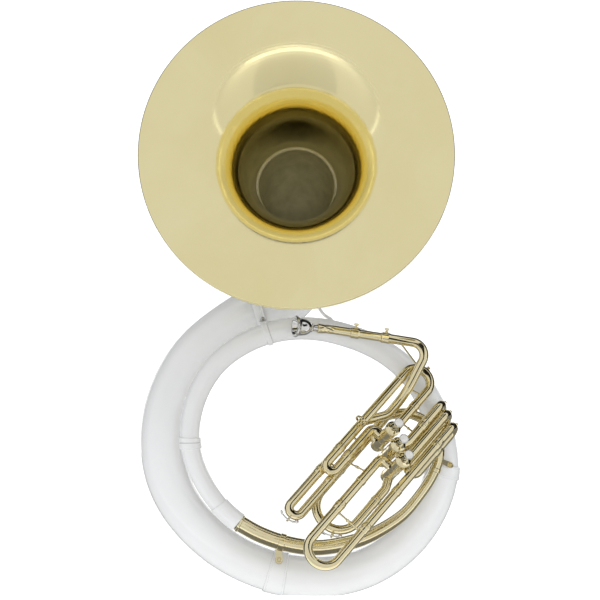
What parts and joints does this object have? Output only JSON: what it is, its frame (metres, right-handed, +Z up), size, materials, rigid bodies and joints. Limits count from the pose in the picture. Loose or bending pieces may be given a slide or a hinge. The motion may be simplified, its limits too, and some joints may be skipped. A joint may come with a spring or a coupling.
{
  "type": "sousaphone",
  "caption": "Marching sousaphone with a white fibreglass body ring and neck, a wide tilting brass bell, piston valves with pull slides and a brass mouthpipe with bits.",
  "frame": {"origin": "inside the ring's top tube, over the player's left shoulder, where the instrument rests", "axes": "+Z up, -Y where the bell faces, +X to the side the valves are on"},
  "size_m": [0.7085, 0.5563, 1.2879],
  "materials": {
    "gel_coat": "glossy",
    "brass": "polished and lacquered",
    "silver": "polished silver plate",
    "pearl": "pearl",
    "steel": "plain"
  },
  "bodies": {
    "instrument": {"body_start_section": "gel_coat", "body_left_section": "gel_coat", "body_top_section": "gel_coat", "body_right_section": "gel_coat", "body_large_section": "gel_coat", "right_collar": "gel_coat", "bottom_collar": "gel_coat", "neck": "gel_coat", "neck_collar": "gel_coat", "neck_stay": "gel_coat", "bell_collar": "brass", "branch": "brass", "lower_bracket_screw": "brass", "upper_bracket_screw": "brass", "first_valve_loop_tube": "brass", "first_valve_return_tube": "brass", "main_slide_return_tube": "brass", "branch_slide_right_tube": "brass", "third_valve_left_tube": "brass", "third_valve_right_tube": "brass", "third_valve_crook_tube": "brass", "second_valve_tubes": "brass", "valve_casing_1": "brass", "valve_casing_2": "brass", "valve_casing_3": "brass", "top_cap_1": "brass", "top_cap_2": "brass", "top_cap_3": "brass", "bottom_cap_1": "brass", "bottom_cap_2": "brass", "bottom_cap_3": "brass", "valve_spring_1": "steel", "valve_spring_2": "steel", "valve_spring_3": "steel", "mouthpipe": "brass", "thumb_ring": "brass"},
    "valve_1": {"piston_1": "silver", "finger_button_1": "pearl"},
    "valve_2": {"piston_2": "silver", "finger_button_2": "pearl"},
    "valve_3": {"piston_3": "silver", "finger_button_3": "pearl"},
    "first_slide": {"first_valve_slide": "brass"},
    "main_slide": {"main_tuning_slide": "brass"},
    "third_slide": {"third_valve_slide": "brass"},
    "branch_slide": {"branch_tuning_slide": "brass"},
    "second_slide": {"second_valve_slide": "brass"},
    "upper_slide": {"third_valve_upper_slide": "brass"},
    "main_key": {"main_water_key": "silver"},
    "branch_key": {"branch_water_key": "silver"},
    "bell": {"bell": "brass"},
    "mouthpiece": {"mouthpiece": "silver"},
    "first_bit": {"first_bit": "brass"},
    "second_bit": {"second_bit": "brass"},
    "bit_screw_1": {"bit_screw_1": "silver"},
    "bit_screw_2": {"bit_screw_2": "silver"},
    "neck_screw": {"neck_screw": "steel"},
    "bell_screw_1": {"bell_screw_1": "silver"},
    "bell_screw_2": {"bell_screw_2": "silver"},
    "bell_screw_3": {"bell_screw_3": "silver"}
  },
  "joints": [
    {"name": "valve_1_press", "type": "slide", "parent": "instrument", "child": "valve_1", "axis": [-0.2439, 0.9137, -0.3249], "range_m": [0, 0.019], "stiffness_N_per_m": 320, "springref_m": -0.015, "deforming": ["valve_spring_1"]},
    {"name": "valve_2_press", "type": "slide", "parent": "instrument", "child": "valve_2", "axis": [-0.2439, 0.9137, -0.3249], "range_m": [0, 0.019], "stiffness_N_per_m": 320, "springref_m": -0.015, "deforming": ["valve_spring_2"]},
    {"name": "valve_3_press", "type": "slide", "parent": "instrument", "child": "valve_3", "axis": [-0.2439, 0.9137, -0.3249], "range_m": [0, 0.019], "stiffness_N_per_m": 320, "springref_m": -0.015, "deforming": ["valve_spring_3"]},
    {"name": "first_slide_pull", "type": "slide", "parent": "instrument", "child": "first_slide", "axis": [-0.6165, -0.4047, -0.6754], "range_m": [0, 0.055]},
    {"name": "main_slide_pull", "type": "slide", "parent": "instrument", "child": "main_slide", "axis": [-0.6165, -0.4047, -0.6754], "range_m": [0, 0.055]},
    {"name": "third_slide_pull", "type": "slide", "parent": "instrument", "child": "third_slide", "axis": [-0.6165, -0.4047, -0.6754], "range_m": [0, 0.055]},
    {"name": "branch_slide_pull", "type": "slide", "parent": "instrument", "child": "branch_slide", "axis": [-0.6165, -0.4047, -0.6754], "range_m": [0, 0.022]},
    {"name": "second_slide_pull", "type": "slide", "parent": "instrument", "child": "second_slide", "axis": [0.6165, 0.4047, 0.6754], "range_m": [0, 0.02]},
    {"name": "upper_slide_pull", "type": "slide", "parent": "instrument", "child": "upper_slide", "axis": [0.6165, 0.4047, 0.6754], "range_m": [0, 0.03]},
    {"name": "main_key_press", "type": "hinge", "parent": "main_slide", "child": "main_key", "pos_m": [-0.03638, -0.21325, -0.37851], "axis": [-0.2439, 0.9137, -0.3249], "range_deg": [0, 10], "stiffness_Nm_per_rad": 0.25, "springref_deg": -14.32},
    {"name": "branch_key_press", "type": "hinge", "parent": "branch_slide", "child": "branch_key", "pos_m": [0.05715, -0.17761, -0.4162], "axis": [-0.2439, 0.9137, -0.3249], "range_deg": [0, 10], "stiffness_Nm_per_rad": 0.25, "springref_deg": -14.32},
    {"name": "bell_turn", "type": "hinge", "parent": "instrument", "child": "bell", "pos_m": [-0.0185, -0.00194, 0.33556], "axis": [0, -0.9848, 0.1736], "continuous": true},
    {"name": "second_bit_turn", "type": "hinge", "parent": "instrument", "child": "second_bit", "pos_m": [0.175, -0.07318, 0.0046], "axis": [0.9821, -0.1096, -0.153], "range_deg": [-35, 35]},
    {"name": "first_bit_turn", "type": "hinge", "parent": "second_bit", "child": "first_bit", "pos_m": [0.109, -0.06582, 0.01488], "axis": [0.9821, -0.1096, -0.153], "range_deg": [-35, 35]},
    {"name": "mouthpiece_turn", "type": "hinge", "parent": "first_bit", "child": "mouthpiece", "pos_m": [0.03064, -0.07046, 0.02532], "axis": [-0.9357, -0.3419, 0.087], "continuous": true},
    {"name": "bit_screw_1_turn", "type": "hinge", "parent": "second_bit", "child": "bit_screw_1", "pos_m": [0.11082, -0.06602, 0.02674], "axis": [0.1521, -0.017, 0.9882], "continuous": true},
    {"name": "bit_screw_2_turn", "type": "hinge", "parent": "instrument", "child": "bit_screw_2", "pos_m": [0.17682, -0.07339, 0.01645], "axis": [0.1521, -0.017, 0.9882], "continuous": true},
    {"name": "neck_screw_turn", "type": "hinge", "parent": "instrument", "child": "neck_screw", "pos_m": [-0.09414, 0.04144, 0.04511], "axis": [0.1095, -0.9272, -0.3582], "continuous": true},
    {"name": "bell_screw_1_turn", "type": "hinge", "parent": "instrument", "child": "bell_screw_1", "pos_m": [-0.0185, -0.00155, 0.42993], "axis": [0, 0.1736, 0.9848], "continuous": true},
    {"name": "bell_screw_2_turn", "type": "hinge", "parent": "instrument", "child": "bell_screw_2", "pos_m": [-0.09904, -0.02577, 0.29255], "axis": [-0.866, -0.0868, -0.4924], "continuous": true},
    {"name": "bell_screw_3_turn", "type": "hinge", "parent": "instrument", "child": "bell_screw_3", "pos_m": [0.06204, -0.02577, 0.29255], "axis": [0.866, -0.0868, -0.4924], "continuous": true}
  ]
}
